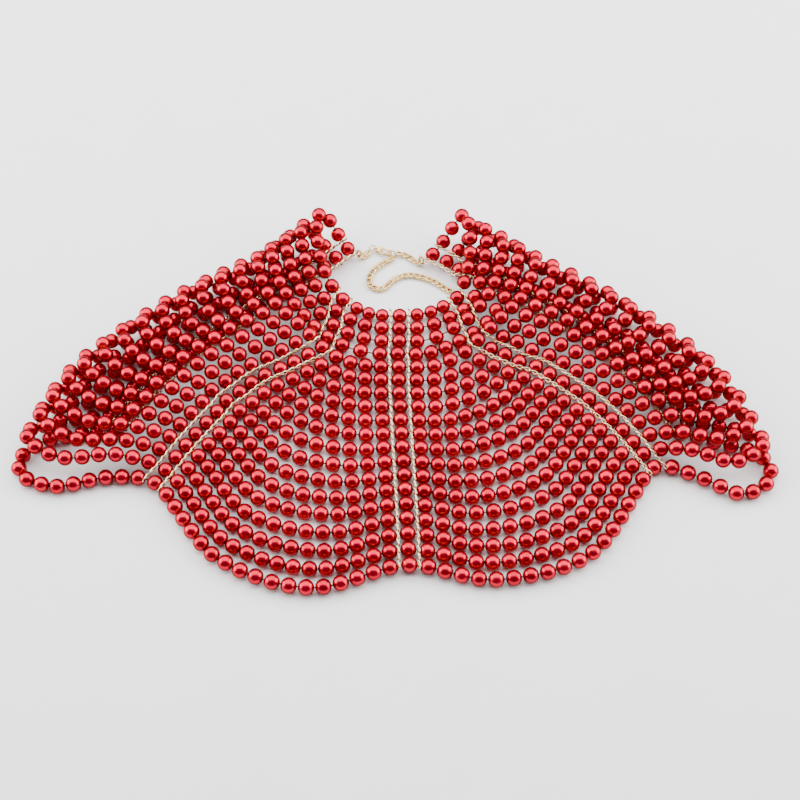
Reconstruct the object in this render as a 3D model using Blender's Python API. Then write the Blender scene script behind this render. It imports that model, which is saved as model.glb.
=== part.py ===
"""Beaded body chain: a collar of nineteen strings of round imitation pearls.

The strings run side by side from one edge of the open back, over the shoulders and
across the chest, to the other edge. Ten thin curb chains hold them: a pair at the
centre front, a pair at each side of the chest and a pair at each back edge, with one
bead of every string between the two chains of a pair. A curb chain, a jump ring and a
sprung lobster clasp close it at the neck on an extension chain with a free tail.

It is modelled as it lies on a table: the chest flat, each shoulder part folded in two,
its front layer on top and its back layer under it.

Metres, +Z up. The table is Z = 0, +X is the wearer's left as it lies, -Y is the hem.
"""

import math

import bmesh
import bpy
import numpy as np
from mathutils import Matrix, Vector

# Strings of beads
STRINGS = 19
BEAD = 0.0104
BEAD_PITCH = 0.0108
STRING_GAP = 0.0003
THREAD_RADIUS = 0.0020
TUBE_RESOLUTION = 2

# Thin curb chains along the seams
SEAM_CHAIN = 0.0016
SEAM_SPREAD = 0.0024
SEAM_LIFT = 0.0037
SEAM_END = 0.004
SEAM_CHORD_ERROR = 0.00015

# Closure: curb chain, ring, clasp and extension
CURB_CHAIN = 0.0040
TOUCH_GAP = 0.0003
RING_SIZE = 0.0060
RING_WIRE = 0.0009
LINK_LENGTH = 0.0064
LINK_WIDTH = 0.0054
LINK_WIRE = 0.0010

# Spacing of the points that a string's tube is drawn through, how far they may stray from
# its line, and the step over which the line's direction is read
STRAIGHT_STEP = 0.030
BEND_STEP = 0.006
CHORD_ERROR = 0.0003
LOOK_AHEAD = 0.001

MM = 0.001

# Middle of the whole outline in the route tables' millimetres, which is the model's origin
MIDDLE = (-3.72, -1.49)

# The five lines of seam chains, and the distance of each chain from the middle of its pair
SEAMS = ("left_back_seam", "left_front_seam", "centre", "right_front_seam", "right_back_seam")
HALF_SEAM = (BEAD_PITCH + SEAM_SPREAD) / 2

# How the strings are eased apart: rounds, how often neighbours are looked up, how far
# from contact they are looked for, the shares by which they move and are smoothed, the
# last rounds that only move them, and how little the neck string gives way to the others
# in front of the shoulders
EASE_ROUNDS = 260
EASE_LOOK_UP = 8
EASE_MARGIN = 0.004
EASE_SHARE = 1.05
EASE_SMOOTHING = 0.12
EASE_LAST = 25
NECK_GIVES = 0.15
NECK_FRONT = 0.098

# Routes of the strings, as the collar lies. Each row is one line across all the strings,
# with the place (x, y in millimetres) of the key strings on it and their height, in
# layers of strings above the table. The strings between them follow smoothly, and the
# hem string lies on the table all the way round.
KEY_STRINGS = (1, 5, 10, 15, 19)

CENTRE = ((0, 68, 0), (-1, 24, 0), (1, -31, 0), (4, -87, 0), (6, -134, 0))

LEFT = (
    # name          neck            second          middle           fourth            hem
    ("chest_in", (-14, 69, 0), (-20, 25, 0), (-33, -32, 0), (-45, -96, 0), (-58, -151, 0)),
    ("chest_out", (-28, 72, 0), (-40, 30, 0), (-69, -20, 0), (-96, -82, 0), (-118, -129, 0)),
    ("front_seam", (-43, 82, 0), (-57, 40, 0), (-100, 14, 0), (-137, -31, 0), (-162, -71, 0)),
    ("wing_in", (-56, 101, .8), (-83, 63, 1.1), (-130, 28, 1.1), (-170, -23, 1.1), (-195, -67, 1.1)),
    ("wing_out", (-61, 124, 1.5), (-96, 85, 1.2), (-158, 46, 1), (-206, -13, 1), (-229, -74, 1)),
    ("fold_top", (-62, 143, 1.8), (-102, 107, 1.4), (-167, 65, 1), (-227, 5, 1), (-251, -66, 1)),
    ("fold_edge", (-57, 150, 1.6), (-101, 119, .6), (-164, 77, .5), (-226, 17, .5), (-255, -52, .5)),
    ("fold_under", (-49, 142, 1.1), (-92, 116, 0), (-155, 79, 0), (-214, 22, 0), (-244, -38, 0)),
    ("back_layer", (-44, 135, .5), (-82, 108, 0), (-136, 70, 0), (-189, 19, 0), (-218, -32, 0)),
    ("back_seam", (-39, 128, .1), (-72, 99, 0), (-118, 61, 0), (-163, 16, 0), (-192, -27, 0)),
)

RIGHT = (
    ("chest_in", (15, 69, 0), (20, 25, 0), (35, -32, 0), (50, -95, 0), (61, -145, 0)),
    ("chest_out", (29, 72, 0), (39, 34, 0), (71, -18, 0), (102, -78, 0), (123, -126, 0)),
    ("front_seam", (44, 82, 0), (55, 47, 0), (102, 20, 0), (143, -19, 0), (168, -58, 0)),
    ("wing_in", (51, 105, .8), (79, 66, 1.1), (128, 34, 1.1), (172, -12, 1.1), (198, -66, 1.1)),
    ("wing_out", (52, 129, 1.5), (91, 90, 1.2), (151, 50, 1), (204, -8, 1), (227, -80, 1)),
    ("fold_top", (50, 140, 1.8), (97, 108, 1.4), (162, 64, 1), (221, 3, 1), (245, -70, 1)),
    ("fold_edge", (46, 148, 1.6), (95, 119, .6), (160, 75, .5), (220, 14, .5), (247, -56, .5)),
    ("fold_under", (38, 139, 1.1), (86, 115, 0), (150, 77, 0), (208, 19, 0), (238, -46, 0)),
    ("back_layer", (32, 130, .5), (76, 107, 0), (133, 69, 0), (185, 18, 0), (212, -38, 0)),
    ("back_seam", (26, 122, .1), (64, 99, 0), (117, 64, 0), (162, 21, 0), (190, -29, 0)),
)

# Routes of the chains at the neck, in millimetres; each starts at a seam chain's end or
# beside the hooked link, and these are the points that follow
CLOSURE_ROUTE = ((-29.5, 126, 4.5), (-26, 127.4, 2.3), (-22.1, 131.8, 2.2))
EXTENSION_ROUTE = ((15.5, 119, 4), (11, 122.5, 2.1), (6, 127, 2), (2, 129.2, 2), (-2.2, 129.7, 2))
TAIL_ROUTE = (
    (-4.9, 125.7, 2), (-10, 122.6, 2), (-15.5, 118, 2), (-20, 112.5, 2), (-22, 105.5, 2),
    (-20.5, 99.5, 2), (-15.5, 96.5, 2), (-10.5, 98.5, 2), (-6, 104, 2), (0, 108, 2),
    (7, 109.5, 2), (14.5, 108, 2), (22, 105, 2), (28, 101, 2), (33.5, 96.5, 2), (38, 94, 2),
)

# Lobster clasp, lying flat: where it lies, and its own sizes from the eye to the nose
CLASP_PLACE = (-18.5, 134, 2.45)
CLASP_TURN = math.radians(-20)
EYE_RADIUS = 0.00125
EYE_WIRE = 0.0009
EYE_X = 0.0009
BLOCK_LENGTH = 0.0029
BLOCK_START = 0.0020
BLOCK_LOW = -0.0020
BLOCK_HIGH = 0.0032
BLOCK_THICKNESS = 0.0026
HOOK_CENTRE = 0.0079
HOOK_LENGTH = 0.0049
HOOK_WIDTH = 0.0025
HOOK_BASE_RADIUS = 0.0011
HOOK_NOSE_RADIUS = 0.00065
NOSE_ANGLE = math.radians(50)
PIVOT = (0.0039, 0.0023)
PIN_RADIUS = 0.0005
PIN_CLEARANCE = 0.0003
LEVER_LENGTH = 0.0062
LEVER_WIDTH = 0.0011
LEVER_THICKNESS = 0.0010
LEVER_LEAN = math.radians(-3.6)
SLOT_CLEARANCE = 0.0003
TRIGGER_LENGTH = 0.0016
LINK_REACH = 0.0107
LINK_TILT = math.radians(64)

PEARL_RED = (0.42, 0.012, 0.02, 1)
PALE_GOLD = (0.86, 0.68, 0.38, 1)


def clear_scene():
    """Remove every object, so that the model stands alone."""
    for item in list(bpy.data.objects):
        bpy.data.objects.remove(item, do_unlink=True)


def material(name, colour, roughness, metallic):
    """Make one plain surface finish."""
    finish = bpy.data.materials.new(name)
    finish.use_nodes = True
    shader = finish.node_tree.nodes["Principled BSDF"]
    shader.inputs["Base Color"].default_value = colour
    shader.inputs["Roughness"].default_value = roughness
    shader.inputs["Metallic"].default_value = metallic
    return finish


def smooth_through(points, steps):
    """Points of a smooth curve through the given ones, with some steps in each span."""
    points = np.asarray(points, float)
    first = 2 * points[0] - points[1]
    last = 2 * points[-1] - points[-2]
    padded = np.vstack([first, points, last])
    counts = steps if hasattr(steps, "__len__") else [steps] * (len(points) - 1)
    curve = []
    for span, count in enumerate(counts):
        a, b, c, d = padded[span:span + 4]
        knots = np.cumsum([0] + [max(np.linalg.norm(q - p), 1e-9) ** 0.5
                                 for p, q in ((a, b), (b, c), (c, d))])
        for t in knots[1] + (knots[2] - knots[1]) * np.arange(count) / count:
            ab = a + (b - a) * (t - knots[0]) / (knots[1] - knots[0])
            bc = b + (c - b) * (t - knots[1]) / (knots[2] - knots[1])
            cd = c + (d - c) * (t - knots[2]) / (knots[3] - knots[2])
            abc = ab + (bc - ab) * (t - knots[0]) / (knots[2] - knots[0])
            bcd = bc + (cd - bc) * (t - knots[1]) / (knots[3] - knots[1])
            curve.append(abc + (bcd - abc) * (t - knots[1]) / (knots[2] - knots[1]))
    curve.append(points[-1])
    return np.array(curve)


def placed(point):
    """A place of the route tables in metres from the model's origin."""
    return (np.array(point, float) - (*MIDDLE, 0)) * MM


def section_point(row, string):
    """Place of one string on one line of the route tables, in metres."""
    share = np.interp(string, KEY_STRINGS, range(len(KEY_STRINGS)))
    fine = smooth_through(np.array(row, float), 16)
    x, y, layer = (np.interp(share * 16, range(len(fine)), fine[:, axis]) for axis in range(3))
    if string == STRINGS:
        layer = 0
    height = BEAD / 2 + max(layer, 0) * (BEAD + STRING_GAP)
    return placed((x, y, height / MM))


def arc_lengths(points):
    """Running length along a polyline."""
    return np.concatenate([[0], np.cumsum(np.linalg.norm(np.diff(points, axis=0), axis=1))])


def string_route(string):
    """First route of one string and the indices of its points on the named lines."""
    rows = [("left_" + row[0], row[1:]) for row in reversed(LEFT)]
    rows += [("centre", CENTRE)]
    rows += [("right_" + row[0], row[1:]) for row in RIGHT]
    knots = np.array([section_point(row, string) for _, row in rows])
    start = knots[0] + (knots[0] - knots[1]) * (BEAD_PITCH / np.linalg.norm(knots[0] - knots[1]))
    end = knots[-1] + (knots[-1] - knots[-2]) * (BEAD_PITCH / np.linalg.norm(knots[-1] - knots[-2]))
    knots = np.vstack([start, knots, end])
    counts = [max(1, round(np.linalg.norm(q - p) / (BEAD_PITCH / 2)))
              for p, q in zip(knots, knots[1:])]
    places = np.cumsum([0] + counts)
    marks = {name: int(places[index + 1]) for index, (name, _) in enumerate(rows)}
    return smooth_through(knots, counts), marks


def ease_apart(routes):
    """Ease the strings apart until no two lie nearer than a bead and a small gap."""
    owner = np.concatenate([np.full(len(route), index) for index, route in enumerate(routes)])
    place = np.concatenate([np.arange(len(route)) for route in routes])
    points = np.concatenate(routes)
    chosen = points.copy()
    bounds = np.cumsum([0] + [len(route) for route in routes])
    reach = BEAD + STRING_GAP + 2 * CHORD_ERROR
    own_span = math.ceil(math.pi / 2 * reach / (BEAD_PITCH / 2))
    gives = np.where((owner == 0) & (points[:, 1] < NECK_FRONT), NECK_GIVES, 1)
    for turn in range(EASE_ROUNDS):
        if turn % EASE_LOOK_UP == 0:
            squares = ((points[:, None, :] - points[None, :, :]) ** 2).sum(axis=2)
            near = squares < (reach + EASE_MARGIN) ** 2
            near &= (owner[:, None] != owner[None, :]) | (abs(place[:, None] - place[None, :]) > own_span)
            first, second = np.nonzero(np.triu(near, 1))
        apart = points[second] - points[first]
        distance = np.linalg.norm(apart, axis=1)
        short = np.clip(reach - distance, 0, None)
        push = apart / np.maximum(distance, 1e-6)[:, None] * short[:, None]
        share = (gives[first] / (gives[first] + gives[second]))[:, None]
        shift = np.zeros_like(points)
        hits = np.zeros(len(points))
        touched = short > 0
        np.add.at(shift, second[touched], (push * (1 - share))[touched])
        np.add.at(shift, first[touched], (-push * share)[touched])
        np.add.at(hits, second[touched], 1)
        np.add.at(hits, first[touched], 1)
        points = points + shift / np.maximum(hits, 1)[:, None] * EASE_SHARE
        if turn < EASE_ROUNDS - EASE_LAST and turn % 2 == 0:
            moved = points - chosen
            for start, stop in zip(bounds, bounds[1:]):
                piece = moved[start:stop]
                middle = (piece[:-2] + piece[2:]) / 2
                points[start + 1:stop - 1] += (middle - piece[1:-1]) * EASE_SMOOTHING
        points[:, 2] = np.maximum(points[:, 2], BEAD / 2)
    return [points[start:stop] for start, stop in zip(bounds, bounds[1:])]


class StringLine:
    """One string's centre line, with the places of its seams along it."""

    def __init__(self, points, marks):
        self.points = smooth_through(points, 6)
        self.length = arc_lengths(self.points)
        self.mark = {name: self.length[index * 6] for name, index in marks.items()}

    def at(self, distance):
        """Point at a distance along the line."""
        return np.array([np.interp(distance, self.length, self.points[:, axis]) for axis in range(3)])

    def direction(self, distance):
        """Unit direction of the line at a distance along it."""
        ahead = self.at(distance + LOOK_AHEAD) - self.at(distance - LOOK_AHEAD)
        return ahead / np.linalg.norm(ahead)


def chain_places(line):
    """Distances along a string at which it passes through the ten seam chains."""
    return [line.mark[seam] + side * HALF_SEAM for seam in SEAMS for side in (-1, 1)]


def next_station(line, distance, high):
    """The farthest station whose straight run from the last stays close to the line."""
    ahead = distance + BEND_STEP
    while ahead + BEND_STEP / 4 < min(high, distance + STRAIGHT_STEP):
        inner = (line.length > distance) & (line.length < ahead + BEND_STEP / 4)
        start = line.at(distance)
        chord = line.at(ahead + BEND_STEP / 4) - start
        chord /= np.linalg.norm(chord)
        away = line.points[inner] - start
        if np.linalg.norm(away - np.outer(away @ chord, chord), axis=1).max(initial=0) > CHORD_ERROR:
            break
        ahead += BEND_STEP / 4
    return ahead


def tube_stations(line):
    """Distances and radii that a string's tube is drawn through."""
    crossings = chain_places(line)
    full = BEAD / 2
    stations = {crossings[0] - THREAD_RADIUS: THREAD_RADIUS, crossings[-1] + THREAD_RADIUS: THREAD_RADIUS}
    for place in crossings:
        stations[place] = THREAD_RADIUS
    for seam in SEAMS:
        stations[line.mark[seam]] = full
    for low, high in zip(crossings[1::2], crossings[2::2]):
        low, high = low + HALF_SEAM, high - HALF_SEAM
        distance = low
        while distance < high - BEND_STEP / 2:
            stations[distance] = full
            distance = next_station(line, distance, high)
        stations[high] = full
    return sorted(stations.items())


def tube(name, points, radii, finish):
    """A closed tube through some points, with a radius at each."""
    curve = bpy.data.curves.new(name, "CURVE")
    curve.dimensions = "3D"
    curve.bevel_depth = 1.0
    curve.bevel_resolution = TUBE_RESOLUTION
    curve.use_fill_caps = True
    curve.twist_mode = "MINIMUM"
    spline = curve.splines.new("POLY")
    spline.points.add(len(points) - 1)
    for control, point, radius in zip(spline.points, points, radii):
        control.co = (*point, 1.0)
        control.radius = radius
    curve.materials.append(finish)
    item = bpy.data.objects.new(name, curve)
    bpy.context.scene.collection.objects.link(item)
    return item


def thinned(points, error):
    """The points without those that lie within an error of the straight run past them."""
    kept = [points[0]]
    start = 0
    for stop in range(2, len(points)):
        chord = (points[stop] - points[start]) / np.linalg.norm(points[stop] - points[start])
        away = points[start + 1:stop] - points[start]
        if np.linalg.norm(away - np.outer(away @ chord, chord), axis=1).max() > error:
            start = stop - 1
            kept.append(points[start])
    return np.array(kept + [points[-1]])


def seam_chain_points(lines, seam, side):
    """Points of one seam chain: over the threads of the strings, in the gap between beads."""
    points = []
    for line in lines:
        place = line.mark[seam] + side * HALF_SEAM
        points.append((line.at(place), line.direction(place)))
    route = []
    for index, (point, along) in enumerate(points):
        before = points[max(index - 1, 0)][0]
        after = points[min(index + 1, len(points) - 1)][0]
        across = (after - before) / np.linalg.norm(after - before)
        up = np.cross(along, across)
        up *= np.sign(up[2]) / np.linalg.norm(up)
        route.append(point + up * SEAM_LIFT)
    route = np.array(route)
    first = route[0] + (route[0] - route[1]) * (SEAM_END / np.linalg.norm(route[0] - route[1]))
    last = route[-1] + (route[-1] - route[-2]) * (SEAM_END / np.linalg.norm(route[-1] - route[-2]))
    return thinned(np.vstack([first, route, last]), SEAM_CHORD_ERROR)


def curb_tube(name, route, finish, start=None):
    """A chain of the closure as a plain tube, from the end of a seam chain if it has one."""
    points = [placed(point) for point in route]
    radii = [CURB_CHAIN / 2] * len(points)
    if start is not None:
        end, inner = start
        away = (end - inner) / np.linalg.norm(end - inner)
        points = [end + away * (TOUCH_GAP + SEAM_CHAIN)] + points
        radii = [SEAM_CHAIN / 2] + radii
    places = np.linspace(0, len(points) - 1, 2 * len(points) - 1)
    radii = np.interp(places, range(len(radii)), radii)
    return tube(name, smooth_through(points, 2), radii, finish)


def add_mesh(name, build, finish):
    """Link a finished bmesh into the scene as an object."""
    bmesh.ops.recalc_face_normals(build, faces=build.faces)
    mesh = bpy.data.meshes.new(name)
    build.to_mesh(mesh)
    build.free()
    mesh.shade_smooth()
    mesh.set_sharp_from_angle(angle=math.radians(40))
    mesh.materials.append(finish)
    item = bpy.data.objects.new(name, mesh)
    bpy.context.scene.collection.objects.link(item)
    return item


def oval_ring(name, length, width, wire, finish, steps=16, sides=6):
    """A closed oval ring of round wire in its own XY plane, long along X."""
    build = bmesh.new()
    straight = (length - width) / 2
    radius = (width - wire) / 2
    loops = []
    for step in range(steps):
        angle = 2 * math.pi * (step + 0.5) / steps
        outward = Vector((math.cos(angle), math.sin(angle), 0))
        middle = outward * radius + Vector((math.copysign(straight, outward.x), 0, 0))
        around = [2 * math.pi * side / sides for side in range(sides)]
        loops.append([build.verts.new(middle + (outward * math.cos(a) + Vector((0, 0, math.sin(a)))) * wire / 2)
                      for a in around])
    for index, loop in enumerate(loops):
        following = loops[(index + 1) % steps]
        for side in range(sides):
            after = (side + 1) % sides
            build.faces.new((loop[side], following[side], following[after], loop[after]))
    return add_mesh(name, build, finish)


def block(name, low, high, finish):
    """A plain rectangular block between two corners."""
    build = bmesh.new()
    size = Vector(high) - Vector(low)
    middle = (Vector(high) + Vector(low)) / 2
    bmesh.ops.create_cube(build, size=1, matrix=Matrix.Translation(middle) @ Matrix.Diagonal((*size, 1)))
    return add_mesh(name, build, finish)


def round_bar(name, radius, low, high, finish, at=(0, 0), sides=16):
    """An upright cylinder between two heights."""
    build = bmesh.new()
    place = Matrix.Translation((at[0], at[1], (low + high) / 2))
    bmesh.ops.create_cone(build, cap_ends=True, segments=sides, radius1=radius, radius2=radius,
                          depth=high - low, matrix=place)
    return add_mesh(name, build, finish)


def combine(item, other, operation):
    """Join a piece to another, or cut it out, and drop the helper."""
    change = item.modifiers.new(operation.lower(), "BOOLEAN")
    change.operation = operation
    change.solver = "EXACT"
    change.object = other
    depsgraph = bpy.context.evaluated_depsgraph_get()
    mesh = bpy.data.meshes.new_from_object(item.evaluated_get(depsgraph))
    item.modifiers.clear()
    item.data = mesh
    bpy.data.objects.remove(other, do_unlink=True)


def clasp_body(finish):
    """Hook, knuckle block, pin and eye of the clasp, in its own frame."""
    sweep = math.pi + NOSE_ANGLE
    steps = 16
    points = []
    radii = []
    for step in range(steps + 1):
        share = step / steps
        angle = NOSE_ANGLE - sweep * share
        points.append((HOOK_CENTRE + HOOK_LENGTH * math.cos(angle), HOOK_WIDTH * math.sin(angle), 0))
        radii.append(HOOK_NOSE_RADIUS + (HOOK_BASE_RADIUS - HOOK_NOSE_RADIUS) * share)
    hook = tube("clasp_body", points, radii, finish)
    depsgraph = bpy.context.evaluated_depsgraph_get()
    mesh = bpy.data.meshes.new_from_object(hook.evaluated_get(depsgraph))
    bpy.data.objects.remove(hook, do_unlink=True)
    body = bpy.data.objects.new("clasp_body", mesh)
    bpy.context.scene.collection.objects.link(body)
    half = BLOCK_THICKNESS / 2
    knuckle = block("knuckle", (BLOCK_START, BLOCK_LOW, -half),
                    (BLOCK_START + BLOCK_LENGTH, BLOCK_HIGH, half), finish)
    combine(body, knuckle, "UNION")
    slot_half = LEVER_THICKNESS / 2 + SLOT_CLEARANCE
    root = LEVER_WIDTH / 2 + PIN_CLEARANCE + SLOT_CLEARANCE * 2
    slot = block("slot", (PIVOT[0] - root - PIN_RADIUS, PIVOT[1] - root - PIN_RADIUS, -slot_half),
                 (PIVOT[0] + LEVER_LENGTH, PIVOT[1] + LEVER_LENGTH, slot_half), finish)
    trim = block("trim", (HOOK_CENTRE, -HOOK_WIDTH * 2, -half * 2),
                 (HOOK_CENTRE + LEVER_LENGTH * 2, HOOK_WIDTH * 2, half * 2), finish)
    combine(slot, trim, "DIFFERENCE")
    combine(body, slot, "DIFFERENCE")
    combine(body, round_bar("pin", PIN_RADIUS, -slot_half * 1.5, slot_half * 1.5, finish, PIVOT), "UNION")
    eye = oval_ring("eye", EYE_RADIUS * 2 + EYE_WIRE, EYE_RADIUS * 2 + EYE_WIRE, EYE_WIRE, finish)
    eye.data.transform(Matrix.Translation((EYE_X, 0, 0)) @ Matrix.Rotation(math.pi / 2, 4, "X"))
    combine(body, eye, "UNION")
    return body


def clasp_lever(finish):
    """Lever that closes the hook's mouth, with its origin on the pin."""
    half = LEVER_THICKNESS / 2
    lever = block("clasp_lever", (0, -LEVER_WIDTH / 2, -half), (LEVER_LENGTH, LEVER_WIDTH / 2, half), finish)
    root = PIN_RADIUS + PIN_CLEARANCE + SLOT_CLEARANCE
    combine(lever, round_bar("root", root, -half, half, finish), "UNION")
    trigger = block("trigger", (-root / 2, 0, -half), (root, TRIGGER_LENGTH, half), finish)
    combine(lever, trigger, "UNION")
    combine(lever, round_bar("hole", PIN_RADIUS + PIN_CLEARANCE, -half * 2, half * 2, finish), "DIFFERENCE")
    return lever


def clasp(finish):
    """Clasp, its lever, the jump ring in its eye and the link on its hook."""
    place = Matrix.Translation(placed(CLASP_PLACE)) @ Matrix.Rotation(CLASP_TURN, 4, "Z")
    frame = bpy.data.objects.new("clasp_frame", None)
    bpy.context.scene.collection.objects.link(frame)
    frame.matrix_world = place
    body = clasp_body(finish)
    lever = clasp_lever(finish)
    lever.location = (*PIVOT, 0)
    lever.rotation_euler = (0, 0, LEVER_LEAN)
    jump_ring = oval_ring("jump_ring", RING_SIZE, RING_SIZE, RING_WIRE, finish)
    jump_ring.location = (EYE_X - (RING_SIZE - RING_WIRE) / 2, 0, 0)
    link = oval_ring("hooked_link", LINK_LENGTH, LINK_WIDTH, LINK_WIRE, finish)
    link.location = (LINK_REACH + (LINK_LENGTH - LINK_WIRE) / 2, 0, 0)
    link.rotation_euler = (LINK_TILT, 0, 0)
    for item in (body, lever, jump_ring, link):
        item.parent = frame


def main():
    """Build every piece of the collar."""
    clear_scene()
    pearl = material("red_pearl", PEARL_RED, 0.25, 0.0)
    gold = material("pale_gold", PALE_GOLD, 0.3, 1.0)

    firsts = [string_route(string) for string in range(1, STRINGS + 1)]
    eased = ease_apart([route for route, _ in firsts])
    lines = [StringLine(points, marks) for points, (_, marks) in zip(eased, firsts)]
    for number, line in enumerate(lines, 1):
        stations = tube_stations(line)
        tube(f"string_{number:02d}", [line.at(place) for place, _ in stations],
             [radius for _, radius in stations], pearl)

    chains = {}
    for seam in SEAMS:
        for side, edge in ((-1, "a"), (1, "b")):
            points = seam_chain_points(lines, seam, side)
            chains[seam, edge] = points
            tube(f"{seam}_chain_{edge}", points, [SEAM_CHAIN / 2] * len(points), gold)

    left_end = chains["left_back_seam", "a"][:2]
    right_end = chains["right_back_seam", "b"][:2]
    curb_tube("closure_chain", CLOSURE_ROUTE, gold, left_end)
    curb_tube("extension_chain", EXTENSION_ROUTE, gold, right_end)
    curb_tube("extension_tail", TAIL_ROUTE, gold)
    clasp(gold)


main()
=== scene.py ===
"""Looks of the beaded body chain: separate pearls on their threads, curb links and clasp."""

import math
import random

import bmesh
import bpy
import numpy as np
from mathutils import Matrix, Vector


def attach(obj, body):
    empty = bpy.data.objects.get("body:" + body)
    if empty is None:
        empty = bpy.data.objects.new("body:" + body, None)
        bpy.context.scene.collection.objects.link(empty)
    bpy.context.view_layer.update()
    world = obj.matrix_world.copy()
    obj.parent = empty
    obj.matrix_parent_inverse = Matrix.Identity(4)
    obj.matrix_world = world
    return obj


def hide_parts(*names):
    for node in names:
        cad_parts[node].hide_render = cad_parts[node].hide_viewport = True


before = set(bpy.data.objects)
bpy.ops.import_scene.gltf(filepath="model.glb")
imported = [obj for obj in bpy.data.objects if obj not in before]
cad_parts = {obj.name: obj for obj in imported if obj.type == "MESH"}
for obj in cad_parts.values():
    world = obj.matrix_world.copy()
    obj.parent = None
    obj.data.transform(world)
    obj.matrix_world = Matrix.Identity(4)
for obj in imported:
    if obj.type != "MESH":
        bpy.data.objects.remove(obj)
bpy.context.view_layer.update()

# Strings of beads
STRINGS = 19
BEAD = 0.0104
BEAD_PITCH = 0.0108
STRING_GAP = 0.0003

# How much further apart the two chains of a seam are than two beads
SEAM_SPREAD = 0.0024

# Ring in the clasp's eye and link on its hook: outer sizes and wires
RING_SIZE = 0.0060
RING_WIRE = 0.0009
LINK_LENGTH = 0.0064
LINK_WIDTH = 0.0054
LINK_WIRE = 0.0010

# Spacing of the points of a string's first route, how far a string's tube may stray from
# its line, and half the step over which the line's direction is read
ROUTE_STEP = BEAD_PITCH / 2
CHORD_ERROR = 0.0003
LOOK_AHEAD = 0.001

# Steps of the smooth curves in each span: across the strings, along one and along a chain
SECTION_STEPS = 16
LINE_STEPS = 6
CHAIN_STEPS = 8

MM = 0.001

# Middle of the whole outline in the route tables' millimetres, which is the model's origin
MIDDLE = (-3.72, -1.49)

# The five lines of seam chains, and the distance of each chain from the middle of its pair
SEAMS = ("left_back_seam", "left_front_seam", "centre", "right_front_seam", "right_back_seam")
HALF_SEAM = (BEAD_PITCH + SEAM_SPREAD) / 2

# How the strings are eased apart: rounds, after how many the neighbours are looked up and
# the strings smoothed, how far from contact neighbours are looked for, the shares by which
# strings move and are smoothed, the last rounds that only move them, and how little the
# neck string gives way to the others in front of the shoulders
EASE_ROUNDS = 260
EASE_LOOK_UP = 8
EASE_SMOOTH_AFTER = 2
EASE_MARGIN = 0.004
EASE_SHARE = 1.05
EASE_SMOOTHING = 0.12
EASE_LAST = 25
NECK_GIVES = 0.15
NECK_FRONT = 0.098

# Routes of the strings, as the collar lies. Each row is one line across all the strings,
# with the place (x, y in millimetres) of the key strings on it and their height, in
# layers of strings above the table. The strings between them follow smoothly, and the
# hem string lies on the table all the way round.
KEY_STRINGS = (1, 5, 10, 15, 19)

CENTRE = ((0, 68, 0), (-1, 24, 0), (1, -31, 0), (4, -87, 0), (6, -134, 0))

LEFT = (
    # name          neck            second          middle           fourth            hem
    ("chest_in", (-14, 69, 0), (-20, 25, 0), (-33, -32, 0), (-45, -96, 0), (-58, -151, 0)),
    ("chest_out", (-28, 72, 0), (-40, 30, 0), (-69, -20, 0), (-96, -82, 0), (-118, -129, 0)),
    ("front_seam", (-43, 82, 0), (-57, 40, 0), (-100, 14, 0), (-137, -31, 0), (-162, -71, 0)),
    ("wing_in", (-56, 101, .8), (-83, 63, 1.1), (-130, 28, 1.1), (-170, -23, 1.1),
     (-195, -67, 1.1)),
    ("wing_out", (-61, 124, 1.5), (-96, 85, 1.2), (-158, 46, 1), (-206, -13, 1), (-229, -74, 1)),
    ("fold_top", (-62, 143, 1.8), (-102, 107, 1.4), (-167, 65, 1), (-227, 5, 1), (-251, -66, 1)),
    ("fold_edge", (-57, 150, 1.6), (-101, 119, .6), (-164, 77, .5), (-226, 17, .5),
     (-255, -52, .5)),
    ("fold_under", (-49, 142, 1.1), (-92, 116, 0), (-155, 79, 0), (-214, 22, 0), (-244, -38, 0)),
    ("back_layer", (-44, 135, .5), (-82, 108, 0), (-136, 70, 0), (-189, 19, 0), (-218, -32, 0)),
    ("back_seam", (-39, 128, .1), (-72, 99, 0), (-118, 61, 0), (-163, 16, 0), (-192, -27, 0)),
)

RIGHT = (
    ("chest_in", (15, 69, 0), (20, 25, 0), (35, -32, 0), (50, -95, 0), (61, -145, 0)),
    ("chest_out", (29, 72, 0), (39, 34, 0), (71, -18, 0), (102, -78, 0), (123, -126, 0)),
    ("front_seam", (44, 82, 0), (55, 47, 0), (102, 20, 0), (143, -19, 0), (168, -58, 0)),
    ("wing_in", (51, 105, .8), (79, 66, 1.1), (128, 34, 1.1), (172, -12, 1.1), (198, -66, 1.1)),
    ("wing_out", (52, 129, 1.5), (91, 90, 1.2), (151, 50, 1), (204, -8, 1), (227, -80, 1)),
    ("fold_top", (50, 140, 1.8), (97, 108, 1.4), (162, 64, 1), (221, 3, 1), (245, -70, 1)),
    ("fold_edge", (46, 148, 1.6), (95, 119, .6), (160, 75, .5), (220, 14, .5), (247, -56, .5)),
    ("fold_under", (38, 139, 1.1), (86, 115, 0), (150, 77, 0), (208, 19, 0), (238, -46, 0)),
    ("back_layer", (32, 130, .5), (76, 107, 0), (133, 69, 0), (185, 18, 0), (212, -38, 0)),
    ("back_seam", (26, 122, .1), (64, 99, 0), (117, 64, 0), (162, 21, 0), (190, -29, 0)),
)

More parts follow.
